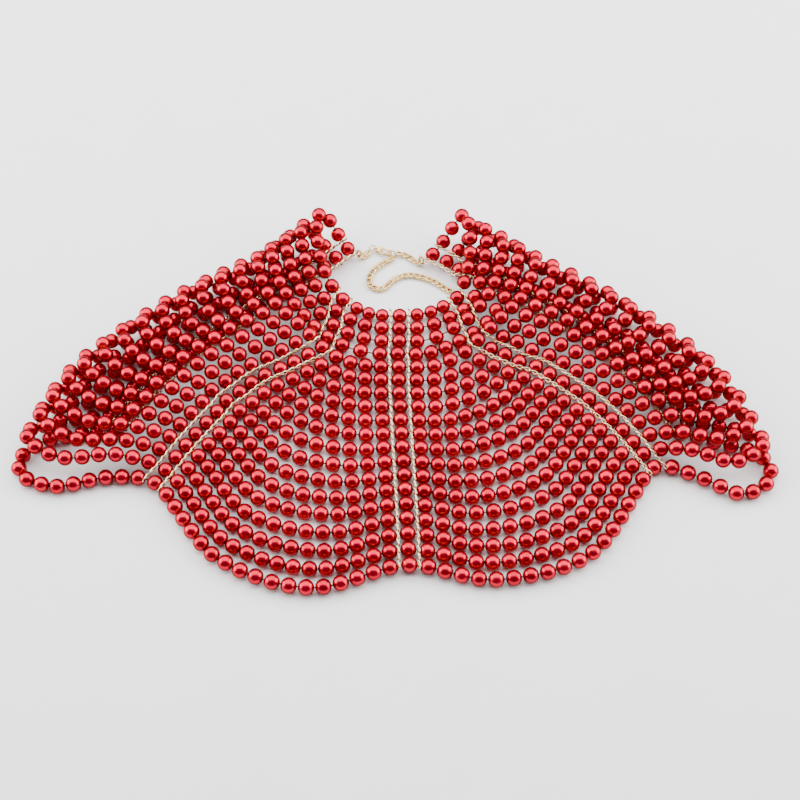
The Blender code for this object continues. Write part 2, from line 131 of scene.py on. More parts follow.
# Routes of the chains at the neck, in millimetres; each starts at a seam chain's end or
# beside the hooked link, and these are the points that follow
CLOSURE_ROUTE = ((-29.5, 126, 4.5), (-26, 127.4, 2.3), (-22.1, 131.8, 2.2))
EXTENSION_ROUTE = ((15.5, 119, 4), (11, 122.5, 2.1), (6, 127, 2), (2, 129.2, 2), (-2.2, 129.7, 2))
TAIL_ROUTE = (
    (-4.9, 125.7, 2), (-10, 122.6, 2), (-15.5, 118, 2), (-20, 112.5, 2), (-22, 105.5, 2),
    (-20.5, 99.5, 2), (-15.5, 96.5, 2), (-10.5, 98.5, 2), (-6, 104, 2), (0, 108, 2),
    (7, 109.5, 2), (14.5, 108, 2), (22, 105, 2), (28, 101, 2), (33.5, 96.5, 2), (38, 94, 2),
)

# Lobster clasp, lying flat: where it lies, and its own sizes from the eye to the nose
CLASP_PLACE = (-18.5, 134, 2.45)
CLASP_TURN = math.radians(-20)
EYE_RADIUS = 0.00125
EYE_WIRE = 0.0009
EYE_X = 0.0009
BLOCK_LENGTH = 0.0029
BLOCK_START = 0.0020
BLOCK_LOW = -0.0020
BLOCK_HIGH = 0.0032
BLOCK_THICKNESS = 0.0026
HOOK_CENTRE = 0.0079
HOOK_LENGTH = 0.0049
HOOK_WIDTH = 0.0025
HOOK_BASE_RADIUS = 0.0011
HOOK_NOSE_RADIUS = 0.00065
NOSE_ANGLE = math.radians(50)
PIVOT = (0.0039, 0.0023)
PIN_RADIUS = 0.0005
PIN_CLEARANCE = 0.0003
LEVER_LENGTH = 0.0062
LEVER_WIDTH = 0.0011
LEVER_THICKNESS = 0.0010
LEVER_LEAN = math.radians(-3.6)
SLOT_CLEARANCE = 0.0003
TRIGGER_LENGTH = 0.0016
LINK_REACH = 0.0107
LINK_TILT = math.radians(64)

# Steps around and along the clasp's round parts, how far the pin reaches in half widths of
# the slot, and how many times larger than a piece the blocks that cut through it are
RING_STEPS = 40
RING_SIDES = 14
BAR_SIDES = 32
HOOK_STEPS = 48
HOOK_RESOLUTION = 4
PIN_REACH = 1.5
CUT_PAST = 2

# Pearls: largest radius and how much smaller one may be, faces and drilled hole, pitch
# along a string, the share of a pitch that a run may lack for one pearl more, the least gap
# between two, from a seam's pearl to its neighbours, and how far one strays and tilts
PEARL_RADIUS = 0.0054
PEARL_VARIATION = 0.00006
PEARL_SEGMENTS = 20
PEARL_RINGS = 12
HOLE_RADIUS = 0.0006
HOLE_DEPTH = 0.0009
PEARL_PITCH = 0.01082
PITCH_SLACK = 0.26
PEARL_GAP = 0.00004
SEAM_SQUEEZE = 0.0007
SEAM_SPAN = 2 * HALF_SEAM - SEAM_SQUEEZE
PEARL_WANDER = 0.00014
PEARL_TILT = 0.05

# Cord through the pearls and the knots at its ends
CORD_RADIUS = 0.00045
CORD_STEP = 0.004
CORD_SIDES = 8
KNOT_RADIUS = 0.0009

# Curb links: pitch, width, wire and twist at the ends; then how far two links overlap in
# wires, the power that squares their ovals, and their steps
SEAM_LINK_SIZES = (0.0056, 0.0037, 0.0011, math.radians(-46))
CLOSURE_LINK_SIZES = (0.0045, 0.0048, 0.0016, math.radians(-22))
CURB_OVERLAP = 0.9
CURB_POWER = 0.85
CURB_STEPS = 24
CURB_SIDES = 8

# Chains: how far seam chains go past the outer strings and lie above the strings' lines,
# how far closure chains start past the seam chains, half the step over which a link's
# direction is read, the largest roll of a link, and the distance after which the links of
# a closure chain lie flat (those of the tail all do)
LINKS_END = 0.0030
CHAIN_LIFT = 0.0029
CLOSURE_START = CLOSURE_LINK_SIZES[0] / 3
LINK_LOOK_AHEAD = 0.002
CHAIN_ROLL = math.radians(9)
FLAT_AFTER = 0.014
TAIL_FLAT_AFTER = 1e-6

# Camera and lights
CAMERA_ELEVATION = math.radians(54.5)
CAMERA_DISTANCE = 1.2547
CAMERA_LENS = 81.9
SENSOR = 36
FLOOR_SIZE = 6.0
WORLD_STRENGTH = 0.2
LIGHTS = (
    # name       place             aimed at           width height power
    ("overhead", (0.0, 0.92, 1.30), (0.0, 0.92, 0.0), 3.6, 2.3, 132.0),
    ("left", (-1.80, 0.25, 0.70), (0.0, 0.25, 0.70), 1.8, 1.25, 64.0),
    ("right", (1.80, 0.25, 0.70), (0.0, 0.25, 0.70), 1.8, 1.25, 64.0),
)

# Cast and polished metal of the clasp: voxels, then rounds and strength of smoothing
CAST_VOXEL = 0.00012
CAST_SMOOTHING = 4
CAST_FACTOR = 0.5

# Finishes: stops of the ramps that tones and noises are read through, sizes of the noises,
# strength and distance of the bumps, and the shaders' other values
NOISE_DETAIL = 3.0
NOISE_LOW = 0.3
NOISE_HIGH = 0.7
PEARL_TONES = ((0.0, (0.50, 0.002, 0.024)), (0.5, (0.58, 0.003, 0.030)),
               (1.0, (0.66, 0.005, 0.036)))
PEARL_CLOUD = ((0.86, 0.80, 0.80), (1.0, 1.0, 1.0))
PEARL_CLOUD_NOISE = 260.0
# Painted shade: the darker red that the pearls' colour is blended to towards their rims as the
# camera sees them, and how sharply it comes on
PEARL_RIM_PAINTED_SHADE = (0.12, 0.0004, 0.004)
PEARL_RIM_SHADE_BLEND = 0.25
PEARL_ROUGHNESS = (0.25, 0.31)
PEARL_ROUGH_NOISE = 420.0
PEARL_BUMP_NOISE = 900.0
PEARL_BUMP = (0.05, 0.0002)
PEARL_VALUES = (
    ("Metallic", 0.92), ("IOR", 1.45), ("Specular Tint", (0.16, 0.002, 0.004, 1)),
    ("Coat Weight", 0.35), ("Coat Roughness", 0.16), ("Coat IOR", 1.25),
)
CORD_COLOURS = ((0.10, 0.004, 0.006), (0.24, 0.010, 0.014))
CORD_NOISE = 1800.0
CORD_BUMP = (0.4, 0.0002)
CORD_ROUGHNESS = 0.6
CHAIN_GOLD = ((0.84, 0.66, 0.42), (0.40, 0.26, 0.13), 0.12)
CLASP_GOLD = ((0.82, 0.58, 0.24), (0.46, 0.29, 0.09), 0.16)
GOLD_STAIN_NOISE = 500.0
GOLD_STAIN_END = 0.65
GOLD_ROUGH_NOISE = 1400.0
GOLD_ROUGH_SHARES = (0.7, 1.3)
GOLD_BUMP_NOISE = 2600.0
GOLD_BUMP_DETAIL = 2.0
GOLD_BUMP = (0.15, 0.0001)
FLOOR_GREYS = (0.90, 0.92)
FLOOR_NOISE = 30.0
FLOOR_ROUGHNESS = 0.9
WHITE = (1.0, 1.0, 1.0, 1)

rng = random.Random(19)


def smooth_through(points, steps):
    """Points of a smooth curve through the given ones, with some steps in each span."""
    points = np.asarray(points, float)
    first = 2 * points[0] - points[1]
    last = 2 * points[-1] - points[-2]
    padded = np.vstack([first, points, last])
    counts = steps if hasattr(steps, "__len__") else [steps] * (len(points) - 1)
    curve = []
    for span, count in enumerate(counts):
        a, b, c, d = padded[span:span + 4]
        knots = np.cumsum([0] + [max(np.linalg.norm(q - p), 1e-9) ** 0.5
                                 for p, q in ((a, b), (b, c), (c, d))])
        for t in knots[1] + (knots[2] - knots[1]) * np.arange(count) / count:
            ab = a + (b - a) * (t - knots[0]) / (knots[1] - knots[0])
            bc = b + (c - b) * (t - knots[1]) / (knots[2] - knots[1])
            cd = c + (d - c) * (t - knots[2]) / (knots[3] - knots[2])
            abc = ab + (bc - ab) * (t - knots[0]) / (knots[2] - knots[0])
            bcd = bc + (cd - bc) * (t - knots[1]) / (knots[3] - knots[1])
            curve.append(abc + (bcd - abc) * (t - knots[1]) / (knots[2] - knots[1]))
    curve.append(points[-1])
    return np.array(curve)


def interpolated(place, knots, values):
    """Point at a place between the knots, by straight lines."""
    return np.array([np.interp(place, knots, values[:, axis]) for axis in range(3)])


def beyond(end, inner, distance):
    """Point at a distance past a line's end, straight on from an inner point."""
    return end + (end - inner) * (distance / np.linalg.norm(end - inner))


def placed(point):
    """A place of the route tables in metres from the model's origin."""
    return (np.array(point, float) - (*MIDDLE, 0)) * MM


def section_point(row, string):
    """Place of one string on one line of the route tables, in metres."""
    share = np.interp(string, KEY_STRINGS, range(len(KEY_STRINGS)))
    fine = smooth_through(row, SECTION_STEPS)
    x, y, layer = interpolated(share * SECTION_STEPS, range(len(fine)), fine)
    if string == STRINGS:
        layer = 0
    height = BEAD / 2 + max(layer, 0) * (BEAD + STRING_GAP)
    return placed((x, y, height / MM))


def arc_lengths(points):
    """Running length along a polyline."""
    return np.concatenate([[0], np.cumsum(np.linalg.norm(np.diff(points, axis=0), axis=1))])


def string_route(string):
    """First route of one string and the indices of its points on the named lines."""
    rows = [("left_" + row[0], row[1:]) for row in reversed(LEFT)]
    rows += [("centre", CENTRE)]
    rows += [("right_" + row[0], row[1:]) for row in RIGHT]
    knots = np.array([section_point(row, string) for _, row in rows])
    knots = np.vstack([beyond(knots[0], knots[1], BEAD_PITCH), knots,
                       beyond(knots[-1], knots[-2], BEAD_PITCH)])
    counts = [max(1, round(np.linalg.norm(q - p) / ROUTE_STEP)) for p, q in zip(knots, knots[1:])]
    places = np.cumsum([0] + counts)
    marks = {name: int(places[index + 1]) for index, (name, _) in enumerate(rows)}
    return smooth_through(knots, counts), marks


def ease_apart(routes):
    """Ease the strings apart until no two lie nearer than a bead and a small gap."""
    owner = np.concatenate([np.full(len(route), index) for index, route in enumerate(routes)])
    place = np.concatenate([np.arange(len(route)) for route in routes])
    points = np.concatenate(routes)
    chosen = points.copy()
    bounds = np.cumsum([0] + [len(route) for route in routes])
    reach = BEAD + STRING_GAP + 2 * CHORD_ERROR
    own_span = math.ceil(math.pi / 2 * reach / ROUTE_STEP)
    gives = np.where((owner == 0) & (points[:, 1] < NECK_FRONT), NECK_GIVES, 1)
    for turn in range(EASE_ROUNDS):
        if turn % EASE_LOOK_UP == 0:
            squares = ((points[:, None, :] - points[None, :, :]) ** 2).sum(axis=2)
            near = squares < (reach + EASE_MARGIN) ** 2
            near &= ((owner[:, None] != owner[None, :])
                     | (abs(place[:, None] - place[None, :]) > own_span))
            first, second = np.nonzero(np.triu(near, 1))
        apart = points[second] - points[first]
        distance = np.linalg.norm(apart, axis=1)
        short = np.clip(reach - distance, 0, None)
        push = apart / np.maximum(distance, 1e-6)[:, None] * short[:, None]
        share = (gives[first] / (gives[first] + gives[second]))[:, None]
        shift = np.zeros_like(points)
        hits = np.zeros(len(points))
        touched = short > 0
        np.add.at(shift, second[touched], (push * (1 - share))[touched])
        np.add.at(shift, first[touched], (-push * share)[touched])
        np.add.at(hits, second[touched], 1)
        np.add.at(hits, first[touched], 1)
        points = points + shift / np.maximum(hits, 1)[:, None] * EASE_SHARE
        if turn < EASE_ROUNDS - EASE_LAST and turn % EASE_SMOOTH_AFTER == 0:
            moved = points - chosen
            for start, stop in zip(bounds, bounds[1:]):
                piece = moved[start:stop]
                middle = (piece[:-2] + piece[2:]) / 2
                points[start + 1:stop - 1] += (middle - piece[1:-1]) * EASE_SMOOTHING
        points[:, 2] = np.maximum(points[:, 2], BEAD / 2)
    return [points[start:stop] for start, stop in zip(bounds, bounds[1:])]


class StringLine:
    """One string's centre line, with the places of its seams along it."""

    def __init__(self, points, marks):
        self.points = smooth_through(points, LINE_STEPS)
        self.length = arc_lengths(self.points)
        self.mark = {name: self.length[index * LINE_STEPS] for name, index in marks.items()}

    def at(self, distance):
        """Point at a distance along the line."""
        return interpolated(distance, self.length, self.points)

    def direction(self, distance):
        """Unit direction of the line at a distance along it."""
        ahead = self.at(distance + LOOK_AHEAD) - self.at(distance - LOOK_AHEAD)
        return ahead / np.linalg.norm(ahead)


class Shape:
    """Vertices, faces and per-vertex tones gathered for one joined mesh."""

    def __init__(self):
        self.verts = []
        self.faces = []
        self.slots = []
        self.tones = []
        self.count = 0

    def add(self, verts, faces, slot=0, tone=0.5):
        """Add one closed piece."""
        self.verts.append(np.asarray(verts))
        self.faces += [tuple(index + self.count for index in face) for face in faces]
        self.slots += [slot] * len(faces)
        self.tones.append(np.full(len(verts), tone))
        self.count += len(verts)

    def finish(self, name, finishes):
        """Make the mesh object, smooth shaded."""
        mesh = bpy.data.meshes.new(name)
        mesh.from_pydata(np.vstack(self.verts).tolist(), [], self.faces)
        mesh.polygons.foreach_set("material_index", self.slots)
        mesh.polygons.foreach_set("use_smooth", [True] * len(self.faces))
        tone = mesh.attributes.new("tone", "FLOAT", "POINT")
        tone.data.foreach_set("value", np.concatenate(self.tones))
        for finish in finishes:
            mesh.materials.append(finish)
        item = bpy.data.objects.new(name, mesh)
        bpy.context.scene.collection.objects.link(item)
        return item


def pearl_template():
    """A unit pearl with its drilled hole along X: vertices and faces."""
    verts = [(-1 + HOLE_DEPTH / PEARL_RADIUS, 0, 0)]
    edge = math.asin(HOLE_RADIUS / PEARL_RADIUS)
    for ring in range(PEARL_RINGS):
        angle = edge + (math.pi - 2 * edge) * ring / (PEARL_RINGS - 1)
        for segment in range(PEARL_SEGMENTS):
            turn = 2 * math.pi * segment / PEARL_SEGMENTS
            verts.append((-math.cos(angle), math.sin(angle) * math.cos(turn),
                          math.sin(angle) * math.sin(turn)))
    verts.append((1 - HOLE_DEPTH / PEARL_RADIUS, 0, 0))
    faces = []
    last = len(verts) - 1
    for segment in range(PEARL_SEGMENTS):
        after = (segment + 1) % PEARL_SEGMENTS
        faces.append((0, 1 + after, 1 + segment))
        for ring in range(PEARL_RINGS - 1):
            low = 1 + ring * PEARL_SEGMENTS
            high = low + PEARL_SEGMENTS
            faces.append((low + segment, low + after, high + after, high + segment))
        high = 1 + (PEARL_RINGS - 1) * PEARL_SEGMENTS
        faces.append((high + segment, high + after, last))
    return np.array(verts), faces


def curb_template(pitch, width, wire, twist):
    """A curb link, twisted along its length: vertices and faces."""
    half_length = (pitch + CURB_OVERLAP * wire) / 2
    half_width = (width - wire) / 2
    middles = []
    for step in range(CURB_STEPS):
        angle = 2 * math.pi * step / CURB_STEPS
        x = half_length * math.copysign(abs(math.cos(angle)) ** CURB_POWER, math.cos(angle))
        y = half_width * math.copysign(abs(math.sin(angle)) ** CURB_POWER, math.sin(angle))
        roll = twist * x / half_length
        middles.append(Vector((x, y * math.cos(roll), y * math.sin(roll))))
    verts = []
    for step, middle in enumerate(middles):
        along = (middles[(step + 1) % CURB_STEPS] - middles[step - 1]).normalized()
        out = (middle - along * middle.dot(along)).normalized()
        side = along.cross(out)
        for turn in range(CURB_SIDES):
            angle = 2 * math.pi * turn / CURB_SIDES
            verts.append(middle + (out * math.cos(angle) + side * math.sin(angle)) * wire / 2)
    faces = []
    for step in range(CURB_STEPS):
        after = (step + 1) % CURB_STEPS
        for turn in range(CURB_SIDES):
            following = (turn + 1) % CURB_SIDES
            faces.append((step * CURB_SIDES + turn, step * CURB_SIDES + following,
                          after * CURB_SIDES + following, after * CURB_SIDES + turn))
    return np.array(verts), faces


def frame_along(along, across):
    """Rotation whose X runs along a direction and whose Y is nearest to another."""
    x = np.array(along) / np.linalg.norm(along)
    y = np.array(across) - x * np.dot(across, x)
    y /= np.linalg.norm(y)
    return np.column_stack([x, y, np.cross(x, y)])


def tube_mesh(points, radius, sides):
    """Vertices and faces of a capped round tube through some points."""
    points = np.asarray(points)
    across = np.array([0.0, 0.0, 1.0])
    verts = []
    for index, point in enumerate(points):
        along = points[min(index + 1, len(points) - 1)] - points[max(index - 1, 0)]
        turn = frame_along(along, across)
        across = turn[:, 1]
        angles = 2 * math.pi * np.arange(sides) / sides
        verts.append(point + radius * (np.outer(np.cos(angles), turn[:, 1])
                                       + np.outer(np.sin(angles), turn[:, 2])))
    faces = [tuple(range(sides - 1, -1, -1))]
    for index in range(len(points) - 1):
        for side in range(sides):
            after = (side + 1) % sides
            faces.append((index * sides + side, index * sides + after,
                          (index + 1) * sides + after, (index + 1) * sides + side))
    top = (len(points) - 1) * sides
    faces.append(tuple(range(top, top + sides)))
    return np.vstack(verts), faces


PEARL = pearl_template()
SEAM_LINK = curb_template(*SEAM_LINK_SIZES)
CLOSURE_LINK = curb_template(*CLOSURE_LINK_SIZES)


def pearl_places(line):
    """Distances along a string at which its pearls sit, and their radii."""
    places = [(line.mark[seam], PEARL_RADIUS) for seam in SEAMS]
    for left, right in zip(SEAMS, SEAMS[1:]):
        low = line.mark[left] + SEAM_SPAN
        high = line.mark[right] - SEAM_SPAN
        count = math.floor((high - low) / PEARL_PITCH + PITCH_SLACK) + 1
        pitch = (high - low) / (count - 1)
        radius = min(PEARL_RADIUS, (pitch - PEARL_GAP) / 2)
        places += [(low + pitch * index, radius) for index in range(count)]
    return places


def string_piece(number, line):
    """One string: its pearls, the cord through them and the knots at its ends."""
    shape = Shape()
    verts, faces = PEARL
    for place, radius in pearl_places(line):
        size = radius - PEARL_VARIATION * rng.random()
        tilt = PEARL_TILT * np.array([rng.gauss(0, 1) for _ in range(3)])
        turn = frame_along(line.direction(place) + tilt, [rng.gauss(0, 1) for _ in range(3)])
        centre = line.at(place) + PEARL_WANDER * np.array([rng.uniform(-1, 1) for _ in range(3)])
        centre[2] = max(centre[2], PEARL_RADIUS)
        shape.add(centre + (verts * size) @ turn.T, faces, 0, rng.random())
    first = line.mark[SEAMS[0]] - HALF_SEAM
    last = line.mark[SEAMS[-1]] + HALF_SEAM
    count = round((last - first) / CORD_STEP)
    cord = [line.at(first + (last - first) * index / count) for index in range(count + 1)]
    shape.add(*tube_mesh(cord, CORD_RADIUS, CORD_SIDES), 1)
    for end in (cord[0], cord[-1]):
        shape.add(end + verts * KNOT_RADIUS, faces, 1)
    piece = shape.finish(f"pearls_{number:02d}", [pearl_red, cord_red])
    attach(piece, "collar")
    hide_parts(f"string_{number:02d}")


def seam_path(lines, seam, side):
    """Points of one seam chain and the directions in which its links stand up."""
    crossings = [(line.at(line.mark[seam] + side * HALF_SEAM),
                  line.direction(line.mark[seam] + side * HALF_SEAM)) for line in lines]
    points = []
    ups = []
    for index, (point, along) in enumerate(crossings):
        before = crossings[max(index - 1, 0)][0]
        after = crossings[min(index + 1, len(crossings) - 1)][0]
        across = (after - before) / np.linalg.norm(after - before)
        up = np.cross(along, across)
        up *= np.sign(up[2]) / np.linalg.norm(up)
        points.append(point + up * CHAIN_LIFT)
        ups.append(up)
    first = beyond(points[0], points[1], LINKS_END)
    last = beyond(points[-1], points[-2], LINKS_END)
    return np.vstack([first, *points, last]), np.array([ups[0], *ups, ups[-1]])


def chain_piece(name, node, points, widths, link, pitch, finish, flat_after=None):
    """Curb links along a route, each turned so that its width lies in a direction."""
    shape = Shape()
    verts, faces = link
    fine = smooth_through(points, CHAIN_STEPS)
    knots = arc_lengths(fine)
    total = knots[-1]
    count = max(2, round(total / pitch))
    marks = knots[::CHAIN_STEPS]
    for index in range(count):
        place = total * (index + 0.5) / count
        centre = interpolated(place, knots, fine)
        ahead = interpolated(min(place + LINK_LOOK_AHEAD, total), knots, fine)
        behind = interpolated(max(place - LINK_LOOK_AHEAD, 0), knots, fine)
        along = ahead - behind
        width = interpolated(place, marks, widths)
        if flat_after is not None:
            share = min(1, place / flat_after)
            flat = np.cross([0, 0, 1], along)
            width = width * (1 - share) + flat / np.linalg.norm(flat) * share
        turn = frame_along(along, width)
        roll = rng.uniform(-CHAIN_ROLL, CHAIN_ROLL)
        spin = np.array(Matrix.Rotation(roll, 3, "X"))
        shape.add(centre + verts @ (turn @ spin).T, faces, 0, rng.random())
    piece = shape.finish(name, [finish])
    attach(piece, "collar")
    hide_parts(node)


def flat_route(route, seam_end=None):
    """Points of a chain of the closure, and widths for its links before they lie flat."""
    points = [placed(point) for point in route]
    if seam_end is not None:
        points.insert(0, beyond(*seam_end, CLOSURE_START))
    return np.array(points), np.tile([0.0, 0.0, 1.0], (len(points), 1))


def mesh_object(name, build, finish):
    """Link a finished bmesh into the scene, smooth shaded."""
    bmesh.ops.recalc_face_normals(build, faces=build.faces)
    mesh = bpy.data.meshes.new(name)
    build.to_mesh(mesh)
    build.free()
    mesh.shade_smooth()
    mesh.materials.append(finish)
    item = bpy.data.objects.new(name, mesh)
    bpy.context.scene.collection.objects.link(item)
    return item


def oval_ring(name, length, width, wire, finish):
    """A closed oval ring of round wire in its own XY plane, long along X."""
    build = bmesh.new()
    straight = (length - width) / 2
    radius = (width - wire) / 2
    loops = []
    for step in range(RING_STEPS):
        angle = 2 * math.pi * (step + 0.5) / RING_STEPS
        outward = Vector((math.cos(angle), math.sin(angle), 0))
        middle = outward * radius + Vector((math.copysign(straight, outward.x), 0, 0))
        loop = []
        for side in range(RING_SIDES):
            turn = 2 * math.pi * side / RING_SIDES
            out = outward * math.cos(turn) + Vector((0, 0, math.sin(turn)))
            loop.append(build.verts.new(middle + out * wire / 2))
        loops.append(loop)
    for index, loop in enumerate(loops):
        following = loops[(index + 1) % RING_STEPS]
        for side in range(RING_SIDES):
            after = (side + 1) % RING_SIDES
            build.faces.new((loop[side], following[side], following[after], loop[after]))
    return mesh_object(name, build, finish)


def block(name, low, high, finish):
    """A plain rectangular block between two corners."""
    build = bmesh.new()
    size = Vector(high) - Vector(low)
    middle = (Vector(high) + Vector(low)) / 2
    place = Matrix.Translation(middle) @ Matrix.Diagonal((*size, 1))
    bmesh.ops.create_cube(build, size=1, matrix=place)
    return mesh_object(name, build, finish)


def round_bar(name, radius, low, high, finish, at=(0, 0)):
    """An upright cylinder between two heights."""
    build = bmesh.new()
    place = Matrix.Translation((at[0], at[1], (low + high) / 2))
    bmesh.ops.create_cone(build, cap_ends=True, segments=BAR_SIDES, radius1=radius, radius2=radius,
                          depth=high - low, matrix=place)
    return mesh_object(name, build, finish)


def evaluated_mesh(item):
    """The mesh of an object with its modifiers applied."""
    graph = bpy.context.evaluated_depsgraph_get()
    return bpy.data.meshes.new_from_object(item.evaluated_get(graph))


def combine(item, other, operation):
    """Join a piece to another, or cut it out, and drop the helper."""
    change = item.modifiers.new(operation.lower(), "BOOLEAN")
    change.operation = operation
    change.solver = "EXACT"
    change.object = other
    mesh = evaluated_mesh(item)
    item.modifiers.clear()
    item.data = mesh
    bpy.data.objects.remove(other, do_unlink=True)


def cast(item, finish):
    """Soften every edge of a piece, as on cast and polished metal."""
    remesh = item.modifiers.new("cast", "REMESH")
    remesh.mode = "VOXEL"
    remesh.voxel_size = CAST_VOXEL
    soften = item.modifiers.new("soften", "SMOOTH")
    soften.factor = CAST_FACTOR
    soften.iterations = CAST_SMOOTHING
    mesh = evaluated_mesh(item)
    item.modifiers.clear()
    item.data = mesh
    mesh.materials.clear()
    mesh.materials.append(finish)
    mesh.shade_smooth()


def clasp_hook(finish):
    """Hook, knuckle block, pin and eye of the clasp, in its own frame."""
    sweep = math.pi + NOSE_ANGLE
    curve = bpy.data.curves.new("hook", "CURVE")
    curve.dimensions = "3D"
    curve.bevel_depth = 1.0
    curve.bevel_resolution = HOOK_RESOLUTION
    curve.use_fill_caps = True
    spline = curve.splines.new("POLY")
    spline.points.add(HOOK_STEPS)
    for step, point in enumerate(spline.points):
        share = step / HOOK_STEPS
        angle = NOSE_ANGLE - sweep * share
        point.co = (HOOK_CENTRE + HOOK_LENGTH * math.cos(angle), HOOK_WIDTH * math.sin(angle), 0, 1)
        point.radius = HOOK_NOSE_RADIUS + (HOOK_BASE_RADIUS - HOOK_NOSE_RADIUS) * share
    hook = bpy.data.objects.new("hook", curve)
    bpy.context.scene.collection.objects.link(hook)
    body = bpy.data.objects.new("clasp_hook", evaluated_mesh(hook))
    bpy.data.objects.remove(hook, do_unlink=True)
    bpy.context.scene.collection.objects.link(body)
    half = BLOCK_THICKNESS / 2
    knuckle = block("knuckle", (BLOCK_START, BLOCK_LOW, -half),
                    (BLOCK_START + BLOCK_LENGTH, BLOCK_HIGH, half), finish)
    combine(body, knuckle, "UNION")
    slot_half = LEVER_THICKNESS / 2 + SLOT_CLEARANCE
    root = LEVER_WIDTH / 2 + PIN_CLEARANCE + SLOT_CLEARANCE * 2
    slot = block("slot", (PIVOT[0] - root - PIN_RADIUS, PIVOT[1] - root - PIN_RADIUS, -slot_half),
                 (PIVOT[0] + LEVER_LENGTH, PIVOT[1] + LEVER_LENGTH, slot_half), finish)
    trim = block("trim", (HOOK_CENTRE, -HOOK_WIDTH * CUT_PAST, -half * CUT_PAST),
                 (HOOK_CENTRE + LEVER_LENGTH * CUT_PAST, HOOK_WIDTH * CUT_PAST, half * CUT_PAST),
                 finish)
    combine(slot, trim, "DIFFERENCE")
    combine(body, slot, "DIFFERENCE")
    reach = slot_half * PIN_REACH
    combine(body, round_bar("pin", PIN_RADIUS, -reach, reach, finish, PIVOT), "UNION")
    eye_size = EYE_RADIUS * 2 + EYE_WIRE
    eye = oval_ring("eye", eye_size, eye_size, EYE_WIRE, finish)
    eye.data.transform(Matrix.Translation((EYE_X, 0, 0)) @ Matrix.Rotation(math.pi / 2, 4, "X"))
    combine(body, eye, "UNION")
    cast(body, finish)
    return body


def clasp_trigger(finish):
    """Lever that closes the hook's mouth, with its origin on the pin."""
    half = LEVER_THICKNESS / 2
    lever = block("clasp_trigger", (0, -LEVER_WIDTH / 2, -half),
                  (LEVER_LENGTH, LEVER_WIDTH / 2, half), finish)
    root = PIN_RADIUS + PIN_CLEARANCE + SLOT_CLEARANCE
    combine(lever, round_bar("root", root, -half, half, finish), "UNION")
    trigger = block("trigger", (-root / 2, 0, -half), (root, TRIGGER_LENGTH, half), finish)
    combine(lever, trigger, "UNION")
    past = half * CUT_PAST
    hole = round_bar("hole", PIN_RADIUS + PIN_CLEARANCE, -past, past, finish)
    combine(lever, hole, "DIFFERENCE")
    cast(lever, finish)
    return lever


def clasp(finish):
    """Clasp, its lever, the jump ring in its eye and the link on its hook."""
    place = Matrix.Translation(placed(CLASP_PLACE)) @ Matrix.Rotation(CLASP_TURN, 4, "Z")
    body = clasp_hook(finish)
    lever = clasp_trigger(finish)
    lever.data.transform(Matrix.Translation((*PIVOT, 0)) @ Matrix.Rotation(LEVER_LEAN, 4, "Z"))
    jump_ring = oval_ring("ring_at_eye", RING_SIZE, RING_SIZE, RING_WIRE, finish)
    jump_ring.data.transform(Matrix.Translation((EYE_X - (RING_SIZE - RING_WIRE) / 2, 0, 0)))
    link = oval_ring("link_on_hook", LINK_LENGTH, LINK_WIDTH, LINK_WIRE, finish)
    link.data.transform(Matrix.Translation((LINK_REACH + (LINK_LENGTH - LINK_WIRE) / 2, 0, 0))
                        @ Matrix.Rotation(LINK_TILT, 4, "X"))
    for item, node, rider in ((body, "clasp_body", "collar"), (lever, "clasp_lever", "clasp_lever"),
                              (jump_ring, "jump_ring", "collar"), (link, "hooked_link", "collar")):
        item.data.transform(place)
        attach(item, rider)
        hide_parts(node)


def finish_nodes(name):
    """A new material with its nodes, links and shader."""
    finish = bpy.data.materials.new(name)
    finish.use_nodes = True
    tree = finish.node_tree
    return finish, tree.nodes, tree.links, tree.nodes["Principled BSDF"]


def noise(nodes, links, scale, detail=NOISE_DETAIL):
    """A noise texture in the object's own coordinates."""
    coordinates = nodes.new("ShaderNodeTexCoord")
    texture = nodes.new("ShaderNodeTexNoise")
    texture.inputs["Scale"].default_value = scale
    texture.inputs["Detail"].default_value = detail
    links.new(coordinates.outputs["Object"], texture.inputs["Vector"])
    return texture.outputs["Fac"]


def ramp(nodes, links, source, stops):
    """A colour ramp over a value."""
    item = nodes.new("ShaderNodeValToRGB")
    elements = item.color_ramp.elements
    while len(elements) < len(stops):
        elements.new(0.5)
    for element, (position, colour) in zip(elements, stops):
        element.position = position
        element.color = (*colour, 1)
    links.new(source, item.inputs["Fac"])
    return item.outputs["Color"]


def noise_ramp(nodes, links, source, low, high):
    """A colour ramp over the middle of a noise's range."""
    return ramp(nodes, links, source, ((NOISE_LOW, low), (NOISE_HIGH, high)))


def grey_ramp(nodes, links, source, low, high):
    """A ramp of plain values over the middle of a noise's range."""
    return noise_ramp(nodes, links, source, (low,) * 3, (high,) * 3)


def attribute(nodes, name):
    """A value stored on the mesh."""
    item = nodes.new("ShaderNodeAttribute")
    item.attribute_name = name
    return item.outputs["Fac"]


def blend_colours(nodes, links, share, one, two, mode="MIX"):
    """Mix two colours by a share."""
    item = nodes.new("ShaderNodeMix")
    item.data_type = "RGBA"
    item.blend_type = mode
    sockets = (item.inputs[0], item.inputs[6], item.inputs[7])
    for socket, value in zip(sockets, (share, one, two)):
        if hasattr(value, "links"):
            links.new(value, socket)
        else:
            socket.default_value = value if isinstance(value, float) else (*value, 1)
    return item.outputs[2]


def bump(nodes, links, height, strength, distance):
    """Bump from a height."""
    item = nodes.new("ShaderNodeBump")
    item.inputs["Strength"].default_value = strength
    item.inputs["Distance"].default_value = distance
    links.new(height, item.inputs["Height"])
    return item.outputs["Normal"]


